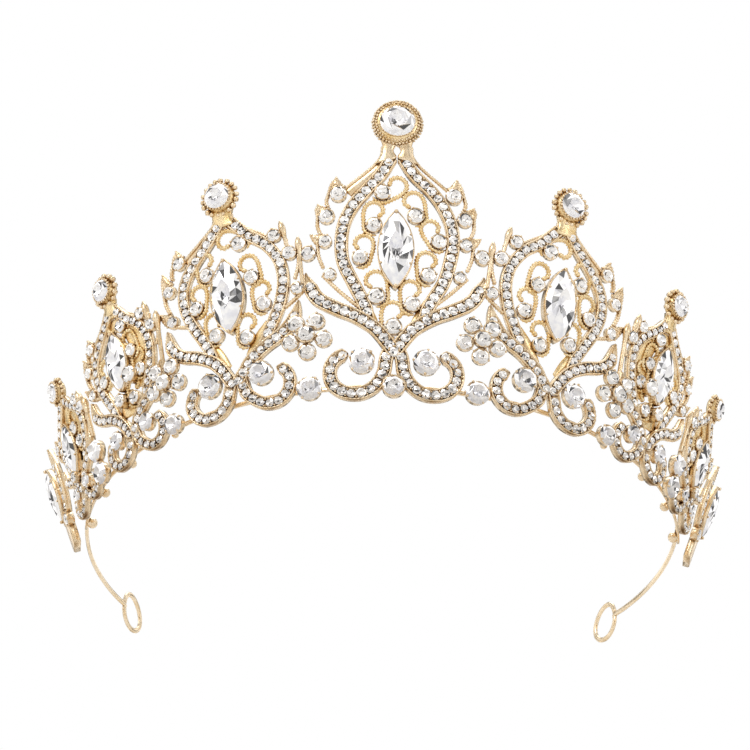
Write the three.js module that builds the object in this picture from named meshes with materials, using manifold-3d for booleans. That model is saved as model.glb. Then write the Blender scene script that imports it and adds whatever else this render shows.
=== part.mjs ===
// A bridal tiara: openwork palmette castings set with crystals, soldered round a flat strip band.
// Millimetres, +Z up, the front faces -Y. The origin is the middle of the bounding box's underside.
import * as THREE from 'three';
import Module from 'manifold-3d';
import { mergeVertices } from 'three/addons/utils/BufferGeometryUtils.js';

// ---------------------------------------------------------------- driving dimensions
const BAND_RADIUS = 75;           // circle that the castings' backs stand on
const BAND_BASE = 4.8;             // the band's lower edge, over the level that the volutes reach down to
const BAND_HEIGHT = 1.2;
const BAND_THICKNESS = 0.7;
const BAND_SHORT = 2.4;           // from each end of the strip to the end leaf's middle
const BAND_FACETS = 47;           // an odd number, so that one flat facet faces the front
const SOLDER_GAP = 0.3;           // between pieces that are soldered or riveted together
const STONE_CLEARANCE = 0.3;      // round and under each stone in its pocket

const CASTING_THICKNESS = 1.8;
const CASTING_LIFT = 1.2;         // the castings' foot line, over the same level
const LEAF_WIDTH = 2.4;           // the end leaf's spur and stem
const SCROLL_WIDTH = 1.2;
const SEAT_RADIUS = 2.05;         // the round seats of the small stones inside a palmette
const SPUR_SEAT_RADIUS = 1.85;    // and of those on its spurs
const COLLAR_WALL = 0.8;          // metal round a large round stone
const COLLAR_HEIGHT = 2.6;
const BEZEL_WALL = 1.0;           // metal round a navette
const POCKET_DEPTH = 1.2;         // from a collar's top down to its floor
const NECK_TOP = 2.2;             // depth of the neck block's front face
const BAR_STEP = 5;               // spacing of the points along the curved bars
const ROUND_SIDES = 12;           // facets of collars and their pockets
const SMALL_SIDES = 6;            // facets of seats and petals
const NAVETTE_STEPS = 2;          // steps per arc quarter of a navette's outline
const VOLUTE_STEPS = 8;
const LOOP_STEPS = 8;
const ARM_FACETS = 12;
const STONE_SIDES = 8;

const ARM_HEIGHT = 1.2;
const ARM_THICKNESS = 0.9;
const ARM_BASE = 6.3;             // the arm's lower edge, over the same level
const ARM_LAP = 6.8;              // how far the arm reaches forward of the end leaf's middle
const ARM_REACH = 44.6;           // from the end leaf's middle back to the middle of the loop
const ARM_SPRING = { _left: 0, _right: 5 };   // degrees by which each arm is sprung inwards at its front end
const LOOP_WIDTH = 9.4;
const LOOP_HEIGHT = 11.2;
const LOOP_WIRE = 1;
const LOOP_RISE = 6.4;            // the middle of the loop, over the same level
const LOOP_TILT = 20;             // degrees by which the loop's top leans towards the arm

const RIVET_RADIUS = 1.1;
const RIVET_HEIGHT = 1.2;
const RIVET_INSET = 1.6;          // from the arm's front end to its rivet
const LUG_WIDTH = 3;              // the block behind the end leaf that the arm is soldered to
const LUG_DEPTH = 2.2;
const LUG_FOOT = 3.9;
const LUG_TOP = 6.3;

const BASE_STONE = 4.5;
const BASE_STONE_RISE = 2.5;
const VOLUTE_STONE_INSET = 0.9;   // from the volute's middle to its stone, towards the crossing
const VOLUTE_STONE_LIFT = 1.6;    // and upwards
const FLOWER_PETALS = 5;
const FLOWER_RADIUS = 4.1;        // from the flower's middle to its petals' middles
const PETAL_RADIUS = 1.95;
const FLOWER_PLATE = 1.2;

// Each palmette leans outwards by its own angle, in degrees.
// Widths run round the band, rises run up the casting from its foot line.
const CENTRE = {
  name: 'centre', lean: 12.7, apex: 60, belly: 12.9, cross: 10.8,
  leafReach: 20.3, leafRise: 31.5, neck: 5, finialRise: 69.4, finialStone: 7.3, finialCollar: 11.6,
  navetteWidth: 8, navetteHeight: 18, navetteRise: 37,
  voluteOffset: 8.2, voluteRise: 7.3, voluteRadius: 6.1, voluteStone: 5.8, rail: 2.9, leaf: 2.6, spurs: 3,
};
const INNER = {
  name: 'inner', lean: 14, apex: 47.3, belly: 12.9, cross: 8.6,
  leafReach: 17.2, leafRise: 25.4, neck: 4.4, finialRise: 55.5, finialStone: 5.6, finialCollar: 9.2,
  navetteWidth: 8, navetteHeight: 17, navetteRise: 29.6,
  voluteOffset: 7.6, voluteRise: 6.5, voluteRadius: 5.3, voluteStone: 5.6, rail: 2.8, leaf: 2.5, spurs: 3,
};
const OUTER = {
  name: 'outer', lean: 16.5, apex: 37.2, belly: 9.9, cross: 7.4,
  leafReach: 12.6, leafRise: 19.6, neck: 3.8, finialRise: 44.4, finialStone: 4.8, finialCollar: 8.2,
  navetteWidth: 6.6, navetteHeight: 14, navetteRise: 24.6,
  voluteOffset: 5.6, voluteRise: 4.9, voluteRadius: 3.8, voluteStone: 4.2, rail: 2.3, leaf: 2.1, spurs: 2,
};
const SIDE = {
  name: 'side', lean: 18, apex: 27.2, belly: 8.4, cross: 6.2,
  leafReach: 9.6, leafRise: 14.2, neck: 3.4, finialRise: 32.4, finialStone: 4.2, finialCollar: 7,
  navetteWidth: 6, navetteHeight: 13.4, navetteRise: 15.8,
  voluteOffset: 3.6, voluteRise: 3.6, voluteRadius: 2.6, voluteStone: 3, rail: 1.7, leaf: 1.6, spurs: 2,
};
const END_LEAF = {
  lean: 20, tabWidth: 6, tabHeight: 9, height: 27, spurOffset: 6.3, room: 6.65,
  navetteWidth: 6, navetteHeight: 13.4, navetteRise: 15.5,
};
// The links between palmettes: one or two large round stones, some with a flower above on a stem.
// Room is the space left along the band, over the link's own width: a negative one tucks it in.
const LINKS = [
  { name: 'inner', stone: 5.2, stoneRises: [3.3], flowerRise: 15.9, room: -0.4 },
  { name: 'outer', stone: 4.6, stoneRises: [3.3], flowerRise: 13.6, room: -0.35 },
  { name: 'side', stone: 5, stoneRises: [3.3, 9.2], flowerRise: null, room: 1.35 },
];

// ---------------------------------------------------------------- materials
const GOLD = { color: 0xd9b36c, roughness: 0.22, metalness: 1 };
const CRYSTAL = { color: 0xf2f2f7, roughness: 0.05, metalness: 0.1 };
const material = finish => new THREE.MeshStandardMaterial(finish);

// ---------------------------------------------------------------- solids
const wasm = await Module();
wasm.setup();
const radians = degrees => THREE.MathUtils.degToRad(degrees);

// A closed three.js geometry as a solid that can be joined and cut.
function solid(geometry) {
  geometry.deleteAttribute('normal');
  geometry.deleteAttribute('uv');
  const merged = mergeVertices(geometry, 1e-4);
  return new wasm.Manifold(new wasm.Mesh({
    numProp: 3,
    vertProperties: new Float32Array(merged.attributes.position.array),
    triVerts: new Uint32Array(merged.index.array),
  }));
}

function geometryOf(body) {
  const mesh = body.getMesh();
  const geometry = new THREE.BufferGeometry();
  geometry.setAttribute('position', new THREE.BufferAttribute(new Float32Array(mesh.vertProperties), 3));
  geometry.setIndex(new THREE.BufferAttribute(new Uint32Array(mesh.triVerts), 1));
  geometry.computeVertexNormals();
  return geometry;
}

const joined = bodies => bodies.reduce((whole, body) => whole.add(body));

// A flat plate of a shape, between two depths.
function plate(shape, back, front, curveSegments = 8) {
  const depth = front - back;
  const geometry = new THREE.ExtrudeGeometry(shape, { depth, bevelEnabled: false, curveSegments });
  geometry.translate(0, 0, back);
  return solid(geometry);
}

function disc(u, v, radius, back, front, sides) {
  const geometry = new THREE.CylinderGeometry(radius, radius, front - back, sides);
  geometry.rotateX(Math.PI / 2);
  geometry.translate(u, v, (back + front) / 2);
  return solid(geometry);
}

// A flat bar that follows a line of points, as wide as widthAt says along it.
function ribbon(points, widthAt, back, front) {
  const left = [];
  const right = [];
  points.forEach((point, i) => {
    const ahead = points[Math.min(i + 1, points.length - 1)];
    const behind = points[Math.max(i - 1, 0)];
    const along = ahead.clone().sub(behind).normalize();
    const across = new THREE.Vector2(-along.y, along.x).multiplyScalar(widthAt(i / (points.length - 1)) / 2);
    left.push(point.clone().add(across));
    right.unshift(point.clone().sub(across));
  });
  return plate(new THREE.Shape([...left, ...right]), back, front);
}

// A smooth line through the points, with a step about every BAR_STEP.
function spline(points) {
  const curve = new THREE.SplineCurve(points.map(([u, v]) => new THREE.Vector2(u, v)));
  return curve.getSpacedPoints(Math.max(1, Math.round(curve.getLength() / BAR_STEP)));
}

const line = (from, to) => [new THREE.Vector2(...from), new THREE.Vector2(...to)];

// A pointed oval, bounded by two equal arcs.
function pointedOval(width, height, u, v) {
  const radius = (height * height + width * width) / (4 * width);
  const half = Math.asin(height / 2 / radius);
  const shape = new THREE.Shape();
  shape.absarc(u - radius + width / 2, v, radius, -half, half, false);
  shape.absarc(u + radius - width / 2, v, radius, Math.PI - half, Math.PI + half, false);
  return shape;
}

// A cut stone: its outline repeated at each level, scaled about its middle.
function gem(outline, levels) {
  const count = outline.length;
  const positions = [];
  const index = [];
  for (const [scale, depth] of levels) {
    for (const point of outline) positions.push(point.x * scale, point.y * scale, depth);
  }
  for (let level = 0; level + 1 < levels.length; level += 1) {
    for (let i = 0; i < count; i += 1) {
      const a = level * count + i;
      const b = level * count + (i + 1) % count;
      index.push(a, b, b + count, a, b + count, a + count);
    }
  }
  const top = (levels.length - 1) * count;
  for (let i = 1; i + 1 < count; i += 1) {
    index.push(0, i + 1, i);
    index.push(top, top + i, top + i + 1);
  }
  const geometry = new THREE.BufferGeometry();
  geometry.setAttribute('position', new THREE.Float32BufferAttribute(positions, 3));
  geometry.setIndex(index);
  geometry.computeVertexNormals();
  return geometry;
}

// Foot face, girdle and table of a stone that stands on its pocket's floor.
function stoneLevels(floor, girdle, table) {
  return [[0.45, floor + STONE_CLEARANCE], [1, girdle], [0.58, table]];
}

function roundStone(diameter) {
  const outline = Array.from({ length: STONE_SIDES }, (_, i) => {
    const turn = (i / STONE_SIDES) * 2 * Math.PI;
    return new THREE.Vector2(Math.cos(turn), Math.sin(turn)).multiplyScalar(diameter / 2);
  });
  const floor = COLLAR_HEIGHT - POCKET_DEPTH;
  return gem(outline, stoneLevels(floor, COLLAR_HEIGHT, COLLAR_HEIGHT + diameter * 0.16));
}

function navetteStone(width, height) {
  const outline = pointedOval(width, height, 0, 0).getPoints(NAVETTE_STEPS);
  outline.pop();
  const unique = outline.filter((point, i) => i === 0 || point.distanceTo(outline[i - 1]) > 0.01);
  const floor = COLLAR_HEIGHT - POCKET_DEPTH;
  return gem(unique, stoneLevels(floor, COLLAR_HEIGHT, COLLAR_HEIGHT + width * 0.16));
}

// ---------------------------------------------------------------- places along the band
// Every place is an arc length from the front, worked out from the widths of what stands side by side.
const halfFoot = spec => spec.voluteOffset + spec.voluteRadius + spec.rail / 2;
const collarWidth = stone => stone + 2 * (STONE_CLEARANCE + COLLAR_WALL / 2);

const PALMETTES = [CENTRE, INNER, OUTER, SIDE];
CENTRE.arc = 0;
LINKS.forEach((link, i) => {
  const [before, after] = [PALMETTES[i], PALMETTES[i + 1]];
  link.lean = Math.max(before.lean, after.lean);
  link.arc = before.arc + halfFoot(before) + (link.room + collarWidth(link.stone)) / 2;
  after.arc = before.arc + halfFoot(before) + link.room + collarWidth(link.stone) + halfFoot(after);
});
END_LEAF.arc = SIDE.arc + halfFoot(SIDE) + END_LEAF.room + END_LEAF.spurOffset;
const bandEnd = END_LEAF.arc - BAND_SHORT;
const armStart = END_LEAF.arc - ARM_LAP;
const loopArc = END_LEAF.arc + ARM_REACH;

// ---------------------------------------------------------------- placing on the leaning band
// u runs round the band, v up the casting, w out of its face. The castings lie on a cone.
function onCone(site, u, v, w) {
  const lean = radians(site.lean);
  const rise = v + CASTING_LIFT;
  const footRadius = BAND_RADIUS + rise * Math.sin(lean);
  const turn = site.side * site.arc / BAND_RADIUS + u / footRadius;
  const radius = footRadius + w * Math.cos(lean);
  const height = rise * Math.cos(lean) - w * Math.sin(lean);
  return new THREE.Vector3(radius * Math.sin(turn), -radius * Math.cos(turn), height);
}

function bendedOnCone(body, site) {
  const geometry = geometryOf(body);
  const position = geometry.attributes.position;
  for (let i = 0; i < position.count; i += 1) {
    const point = onCone(site, position.getX(i), position.getY(i), position.getZ(i));
    position.setXYZ(i, point.x, point.y, point.z);
  }
  geometry.computeVertexNormals();
  return geometry;
}

function standOnCone(mesh, site, u, v) {
  const foot = onCone(site, u, v, 0);
  const out = onCone(site, u, v, 1).sub(foot).normalize();
  const up = onCone(site, u, v + 1, 0).sub(foot).normalize();
  const across = new THREE.Vector3().crossVectors(up, out);
  mesh.position.copy(foot);
  mesh.quaternion.setFromRotationMatrix(new THREE.Matrix4().makeBasis(across, up, out));
}

const tiara = new THREE.Group();

function addMesh(name, geometry, finish) {
  const mesh = new THREE.Mesh(geometry, material(finish));
  mesh.name = name;
  tiara.add(mesh);
  return mesh;
}

const addCasting = (name, body, site) => addMesh(name, bendedOnCone(body, site), GOLD);

function addStone(name, geometry, site, u, v) {
  standOnCone(addMesh(name, geometry, CRYSTAL), site, u, v);
}

// ---------------------------------------------------------------- castings
// A collar with its pocket already open, and the pocket that must stay open where bars cross it.
function collar(u, v, stone, outer) {
  const floor = COLLAR_HEIGHT - POCKET_DEPTH;
  return {
    metal: disc(u, v, outer / 2, 0, COLLAR_HEIGHT, ROUND_SIDES),
    pocket: disc(u, v, stone / 2 + STONE_CLEARANCE, floor, COLLAR_HEIGHT + 1, ROUND_SIDES),
  };
}

function bezel(spec) {
  const { navetteWidth: width, navetteHeight: height, navetteRise: rise } = spec;
  const wall = STONE_CLEARANCE + BEZEL_WALL;
  const floor = COLLAR_HEIGHT - POCKET_DEPTH;
  const point = wall * height / width;
  const gap = STONE_CLEARANCE * height / width;
  return {
    metal: plate(pointedOval(width + 2 * wall, height + 2 * point, 0, rise), 0, COLLAR_HEIGHT, NAVETTE_STEPS),
    pocket: plate(
      pointedOval(width + 2 * STONE_CLEARANCE, height + 2 * gap, 0, rise), floor, COLLAR_HEIGHT + 1, NAVETTE_STEPS),
  };
}

// Fractions of the belly's half width and of the height between the crossing and the apex.
const OGEE = [[0.14, 1], [0.33, 0.92], [0.58, 0.85], [0.83, 0.76], [0.97, 0.67], [1, 0.58],
  [0.94, 0.47], [0.8, 0.37], [0.62, 0.27]];
const RAIL_FOOT = [0.33, 0.38];   // where the rail ends on the leaf, as fractions of the leaf
const LEAF = [[0, 0], [0.13, 0.2], [0.25, 0.33], [0.45, 0.45], [0.68, 0.55], [0.9, 0.72], [1, 1]];
const SCROLL = [[-0.5, 0.82], [-0.25, 0.83], [-0.45, 0.74], [-0.39, 0.66], [-0.68, 0.58], [-0.64, 0.5],
  [-0.5, 0.38], [-0.31, 0.29], [0, 0.14], [0.3, 0.25], [0.4, 0.33], [0.58, 0.41], [0.62, 0.5],
  [0.77, 0.59], [0.6, 0.68], [0.35, 0.72]];
const SCROLL_SEATS = [[-0.25, 0.83], [-0.39, 0.66], [-0.64, 0.5], [-0.31, 0.29], [0, 0.14],
  [0.3, 0.25], [0.58, 0.41], [0.77, 0.59], [0.35, 0.72]];
// Short bars that hold the seats to the rails and to the navette's bezel.
const RAIL_TIES = [[[-0.64, 0.5], [-0.97, 0.5]], [[0.77, 0.59], [1, 0.59]], [[-0.25, 0.83], [-0.66, 0.83]]];
const BEZEL_TIES = [[-0.39, 0.66, 0.2], [0.35, 0.72, 0.25], [-0.31, 0.29, -0.25], [0.3, 0.25, -0.3]];
// Each spur: where it leaves the rail, its stone's seat and its tip.
const SPURS = [
  [[0.85, 0.77], [1.04, 0.83], [1.06, 0.92]],
  [[0.96, 0.66], [1.22, 0.72], [1.38, 0.785]],
  [[0.95, 0.54], [1.24, 0.575], [1.46, 0.62]],
];

function palmetteBody(spec) {
  const height = spec.apex - spec.cross;
  const at = ([u, v], side = 1) => [side * u * spec.belly, spec.cross + v * height];
  const parts = [];
  const pockets = [];
  for (const side of [-1, 1]) {
    const onLeaf = ([u, v]) => [side * u * spec.leafReach, spec.cross + v * (spec.leafRise - spec.cross)];
    const rail = spline([...OGEE.map(point => at(point, side)), onLeaf(RAIL_FOOT)]);
    parts.push(ribbon(rail, () => spec.rail, 0, CASTING_THICKNESS));
    const leaf = spline(LEAF.map(onLeaf));
    parts.push(ribbon(leaf, t => Math.max(0.5, spec.leaf * Math.min(1, 4 * (1 - t))), 0, CASTING_THICKNESS));
    parts.push(volute(spec, side));
    const rim = collar(side * (spec.voluteOffset - VOLUTE_STONE_INSET), spec.voluteRise + VOLUTE_STONE_LIFT,
      spec.voluteStone, spec.voluteStone + 2 * (STONE_CLEARANCE + COLLAR_WALL));
    parts.push(rim.metal);
    pockets.push(rim.pocket);
    for (const [root, seat, tip] of SPURS.slice(0, spec.spurs)) {
      const stem = [root, seat, tip].map(point => at(point, side));
      parts.push(ribbon(spline(stem), t => 2.4 * (1 - t) + 0.4, 0, CASTING_THICKNESS));
      parts.push(disc(...at(seat, side), SPUR_SEAT_RADIUS, 0, CASTING_THICKNESS, SMALL_SIDES));
    }
  }
  parts.push(ribbon(spline(SCROLL.map(point => at(point))), () => SCROLL_WIDTH, 0, CASTING_THICKNESS));
  for (const seat of SCROLL_SEATS) {
    parts.push(disc(...at(seat), SEAT_RADIUS, 0, CASTING_THICKNESS, SMALL_SIDES));
  }
  const tie = (from, to) => ribbon(line(from, to), () => SCROLL_WIDTH, 0, CASTING_THICKNESS);
  for (const [from, to] of RAIL_TIES) parts.push(tie(at(from), at(to)));
  for (const [u, v, share] of BEZEL_TIES) {
    parts.push(tie(at([u, v]), [0, spec.navetteRise + share * spec.navetteHeight]));
  }
  const neck = line([0, spec.apex - 5], [0, spec.finialRise - spec.finialStone / 2]);
  parts.push(ribbon(neck, t => spec.neck * (1 + 0.3 * t), 0, NECK_TOP));
  const crossing = line([0, 2.5], [0, spec.cross + 2.5]);
  parts.push(ribbon(crossing, () => spec.rail, 0, CASTING_THICKNESS));
  const finial = collar(0, spec.finialRise, spec.finialStone, spec.finialCollar);
  const navette = bezel(spec);
  parts.push(finial.metal, navette.metal);
  pockets.push(finial.pocket, navette.pocket);
  if (spec === CENTRE) {
    const base = collar(0, BASE_STONE_RISE, BASE_STONE, collarWidth(BASE_STONE));
    parts.push(base.metal);
    pockets.push(base.pocket);
  }
  return joined(parts).subtract(joined(pockets));
}

// The scroll at a palmette's foot, from the crossing down, round and up on the outside.
function volute(spec, side) {
  const points = [new THREE.Vector2(0, spec.cross)];
  for (let i = 0; i <= VOLUTE_STEPS; i += 1) {
    const turn = radians(165 + (225 * i) / VOLUTE_STEPS);
    points.push(new THREE.Vector2(
      side * (spec.voluteOffset + spec.voluteRadius * Math.cos(turn)),
      spec.voluteRise + spec.voluteRadius * Math.sin(turn)));
  }
  return ribbon(points, t => spec.rail * Math.min(1, 0.4 + 3 * (1 - t)), 0, CASTING_THICKNESS);
}

function addPalmette(spec, side, suffix) {
  const site = { arc: spec.arc, lean: spec.lean, side };
  addCasting(`${spec.name}_palmette${suffix}`, palmetteBody(spec), site);
  addStone(`${spec.name}_navette${suffix}`, navetteStone(spec.navetteWidth, spec.navetteHeight),
    site, 0, spec.navetteRise);
  addStone(`${spec.name}_finial_stone${suffix}`, roundStone(spec.finialStone), site, 0, spec.finialRise);
  for (const half of [-1, 1]) {
    const hand = half < 0 ? '_a' : '_b';
    addStone(`${spec.name}_volute_stone${suffix}${hand}`, roundStone(spec.voluteStone),
      site, half * (spec.voluteOffset - VOLUTE_STONE_INSET), spec.voluteRise + VOLUTE_STONE_LIFT);
  }
  return site;
}

// The last casting at each end: one navette in a leaf frame over a flat tab that holds the arm.
function addEndLeaf(side, suffix) {
  const site = { arc: END_LEAF.arc, lean: END_LEAF.lean, side };
  const { tabWidth, tabHeight, height, spurOffset } = END_LEAF;
  const frame = bezel(END_LEAF);
  const tab = ribbon(line([0, 0.3], [0, tabHeight]), () => tabWidth, 0, CASTING_THICKNESS);
  const spur = ribbon(
    spline([[-side * spurOffset * 0.73, tabHeight], [-side * spurOffset, height * 0.6],
      [-side * spurOffset * 0.8, height]]),
    t => LEAF_WIDTH * (1 - t) + 0.5, 0, CASTING_THICKNESS);
  const stem = ribbon(line([0, tabHeight - 1], [-side * spurOffset * 0.73, tabHeight + 1]),
    () => LEAF_WIDTH, 0, CASTING_THICKNESS);
  const lug = ribbon(line([0, LUG_FOOT], [0, LUG_TOP]), () => LUG_WIDTH, -LUG_DEPTH, CASTING_THICKNESS);
  addCasting(`end_leaf${suffix}`, joined([tab, lug, spur, stem, frame.metal]).subtract(frame.pocket), site);
  addStone(`end_navette${suffix}`, navetteStone(END_LEAF.navetteWidth, END_LEAF.navetteHeight),
    site, 0, END_LEAF.navetteRise);
}

// A link between two palmettes: the large stones' collars, and a flower's plate in front of the castings.
function addLink(link, side, suffix) {
  const site = { arc: link.arc, lean: link.lean, side };
  const cups = link.stoneRises.map(rise => collar(0, rise, link.stone, collarWidth(link.stone)));
  const parts = cups.map(cup => cup.metal);
  const stemBack = CASTING_THICKNESS + SOLDER_GAP;
  const stem = (from, to) => ribbon(line([0, from], [0, to]), () => SCROLL_WIDTH, stemBack, stemBack + 1);
  if (link.flowerRise !== null) {
    const back = stemBack;
    parts.push(stem(link.stoneRises[0], link.flowerRise));
    parts.push(disc(0, link.flowerRise, FLOWER_RADIUS, back, back + FLOWER_PLATE, SMALL_SIDES));
    for (let i = 0; i < FLOWER_PETALS; i += 1) {
      const turn = ((i + 0.5) / FLOWER_PETALS) * 2 * Math.PI - Math.PI / 2;
      parts.push(disc(FLOWER_RADIUS * Math.cos(turn), link.flowerRise + FLOWER_RADIUS * Math.sin(turn),
        PETAL_RADIUS, back, back + FLOWER_PLATE + 0.8, SMALL_SIDES));
    }
  }
  const pockets = joined(cups.map(cup => cup.pocket));
  addCasting(`${link.name}_link${suffix}`, joined(parts).subtract(pockets), site);
  link.stoneRises.forEach((rise, i) => {
    const which = i === 0 ? 'stone' : 'upper_stone';
    addStone(`${link.name}_link_${which}${suffix}`, roundStone(link.stone), site, 0, rise);
  });
}

// ---------------------------------------------------------------- band, arms and rivets
// A strip bent round an arc, standing between two radii, from one arc length to another, in flat facets.
function bentStrip(inner, outer, from, to, facets, bottom, height) {
  const outline = [];
  for (const [radius, start, end] of [[outer, from, to], [inner, to, from]]) {
    for (let i = 0; i <= facets; i += 1) {
      const turn = (start + ((end - start) * i) / facets) / BAND_RADIUS;
      outline.push(new THREE.Vector2(radius * Math.sin(turn), -radius * Math.cos(turn)));
    }
  }
  return plate(new THREE.Shape(outline), bottom, bottom + height);
}

const bandOuter = BAND_RADIUS - SOLDER_GAP;
const bandInner = bandOuter - BAND_THICKNESS;
addMesh('headband', geometryOf(
  bentStrip(bandInner, bandOuter, -bandEnd, bandEnd, BAND_FACETS, BAND_BASE, BAND_HEIGHT)), GOLD);

// An arm of flat wire, ending in an oval loop that faces the middle of the head.
// A sprung arm is turned inwards about its own front end.
function addArm(side, suffix) {
  const outer = bandOuter;
  const inner = outer - ARM_THICKNESS;
  const middle = (outer + inner) / 2;
  const nearWire = Math.asin((LOOP_WIDTH / 2 - LOOP_WIRE / 2) / middle) * BAND_RADIUS;
  const wire = bentStrip(inner, outer, side * armStart, side * (loopArc - nearWire), ARM_FACETS,
    ARM_BASE, ARM_HEIGHT);
  const ring = new THREE.Shape();
  ring.absellipse(0, 0, LOOP_WIDTH / 2, LOOP_HEIGHT / 2, 0, 2 * Math.PI, false, 0);
  const hole = new THREE.Path();
  hole.absellipse(0, 0, LOOP_WIDTH / 2 - LOOP_WIRE, LOOP_HEIGHT / 2 - LOOP_WIRE, 0, 2 * Math.PI, true, 0);
  ring.holes.push(hole);
  const loop = new THREE.ExtrudeGeometry(ring, { depth: LOOP_WIRE, bevelEnabled: false, curveSegments: LOOP_STEPS });
  loop.translate(0, 0, -LOOP_WIRE / 2);
  loop.rotateZ(side * radians(LOOP_TILT));
  loop.rotateX(Math.PI / 2);
  const turn = side * loopArc / BAND_RADIUS;
  loop.rotateZ(turn);
  loop.translate(middle * Math.sin(turn), -middle * Math.cos(turn), LOOP_RISE);
  const hinge = side * armStart / BAND_RADIUS;
  const [x, y] = [middle * Math.sin(hinge), -middle * Math.cos(hinge)];
  const arm = wire.add(solid(loop)).translate([-x, -y, 0]).rotate([0, 0, side * ARM_SPRING[suffix]])
    .translate([x, y, 0]);
  addMesh(`end_arm${suffix}`, geometryOf(arm), GOLD);
}

// A domed rivet head on the inside of the arm.
function addRivet(name, arc) {
  const radius = bandOuter - ARM_THICKNESS - SOLDER_GAP;
  const dome = [[0, 0], [RIVET_RADIUS, 0], [RIVET_RADIUS, RIVET_HEIGHT / 3],
    [RIVET_RADIUS * 0.7, RIVET_HEIGHT * 0.85], [0, RIVET_HEIGHT]];
  const geometry = new THREE.LatheGeometry(dome.map(([x, y]) => new THREE.Vector2(x, y)), 10);
  const mesh = addMesh(name, geometryOf(solid(geometry)), GOLD);
  const turn = arc / BAND_RADIUS;
  const inward = new THREE.Vector3(-Math.sin(turn), Math.cos(turn), 0);
  mesh.position.copy(inward).multiplyScalar(-radius).setZ(ARM_BASE + ARM_HEIGHT / 2);
  mesh.quaternion.setFromUnitVectors(new THREE.Vector3(0, 1, 0), inward);
}

// ---------------------------------------------------------------- assembly
const centreSite = addPalmette(CENTRE, 1, '');
addStone('base_stone', roundStone(BASE_STONE), centreSite, 0, BASE_STONE_RISE);
for (const [side, suffix] of [[-1, '_left'], [1, '_right']]) {
  for (const spec of [INNER, OUTER, SIDE]) addPalmette(spec, side, suffix);
  for (const link of LINKS) addLink(link, side, suffix);
  addEndLeaf(side, suffix);
  addArm(side, suffix);
  addRivet(`arm_rivet${suffix}`, side * (armStart + RIVET_INSET));
}

tiara.updateMatrixWorld(true);
const box = new THREE.Box3().setFromObject(tiara, true);
const middle = box.getCenter(new THREE.Vector3());
tiara.position.set(-middle.x, -middle.y, -box.min.z);

export default tiara;
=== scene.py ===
from math import cos, radians, sin

import bpy
import numpy as np
from mathutils import Matrix, Vector


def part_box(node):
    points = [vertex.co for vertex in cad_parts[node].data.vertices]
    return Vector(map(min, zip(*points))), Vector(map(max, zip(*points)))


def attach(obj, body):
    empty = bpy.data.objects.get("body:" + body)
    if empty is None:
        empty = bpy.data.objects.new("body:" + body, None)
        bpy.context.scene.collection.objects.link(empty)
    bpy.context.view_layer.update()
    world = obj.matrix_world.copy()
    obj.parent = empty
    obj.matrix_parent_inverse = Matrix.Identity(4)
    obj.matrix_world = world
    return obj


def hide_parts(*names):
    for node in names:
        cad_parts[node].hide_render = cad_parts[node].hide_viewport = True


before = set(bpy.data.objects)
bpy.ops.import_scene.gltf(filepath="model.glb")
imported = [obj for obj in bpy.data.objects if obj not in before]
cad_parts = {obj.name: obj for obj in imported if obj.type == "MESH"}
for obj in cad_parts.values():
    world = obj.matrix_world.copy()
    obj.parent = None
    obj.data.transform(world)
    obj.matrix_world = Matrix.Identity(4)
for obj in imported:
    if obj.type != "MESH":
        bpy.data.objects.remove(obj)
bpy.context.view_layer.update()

# ---- the tiara's own sizes, in millimetres
MM = 0.001
BAND_RADIUS = 75.0        # circle that the castings' backs stand on
BAND_THICKNESS = 0.7
BAND_HEIGHT = 1.2
BAND_BASE = 4.8           # the band's lower edge, over the level that the volutes reach down to
CASTING_LIFT = 1.2        # the castings' foot line, where v is 0, over the same level
SOLDER_GAP = 0.3
FACET_SAG = 0.04          # from the CAD band's flat front facet to its true circle
PAVE_PITCH = 2.25
MILGRAIN_PITCH = 0.8
FINE = 0.2                # spacing of points along a milgrain edge

# Depths, out from a casting's back.
CHANNEL_FLOOR = 1.02
LIP_TOP = 1.5
PAVE_GIRDLE = 1.42
VOLUTE_GIRDLE = 2.0
BASE_GIRDLE = 2.2
NAVETTE_GIRDLE = 2.5
FINIAL_TOP = 2.9
FINIAL_GIRDLE = 3.0
FILL_BACK, FILL_FACE = 0.3, 0.75

CENTRE_LEAN, INNER_LEAN, OUTER_LEAN, SIDE_LEAN, END_LEAN = 12.7, 14, 16.5, 18, 20   # degrees outwards
RNG = np.random.default_rng(7)

band_low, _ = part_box("headband")
BAND_MIDDLE_Y = band_low.y / MM + BAND_RADIUS - SOLDER_GAP - FACET_SAG
GROUND = band_low.z / MM - BAND_BASE
FOOT_LIFT = GROUND + CASTING_LIFT


# ---- places
class Site:
    """Where a casting stands: its turn round the band, in radians, and its outward lean."""

    def __init__(self, node, lean):
        low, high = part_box(node)
        middle = (low + high) / 2 / MM
        self.turn = np.arctan2(middle.x, BAND_MIDDLE_Y - middle.y)
        self.lean = np.radians(lean)

    def lay(self, points):
        """Rolls (u, v, w) on to the leaning cone. The foot circle grows by v sin(lean), u is divided by it to
        give the turn, and w stands out square to the cone."""
        u, v, w = points[:, 0], points[:, 1] + FOOT_LIFT, points[:, 2]
        foot = BAND_RADIUS + v * np.sin(self.lean)
        turn = self.turn + u / foot
        reach = foot + w * np.cos(self.lean)
        height = v * np.cos(self.lean) - w * np.sin(self.lean)
        return np.stack([reach * np.sin(turn), BAND_MIDDLE_Y - reach * np.cos(turn), height], 1) * MM


class Flat:
    """Points that are already in the tiara's own frame, measured from the middle of the band's circle."""

    def lay(self, points):
        return (points + [0, BAND_MIDDLE_Y, GROUND]) * MM


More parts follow.
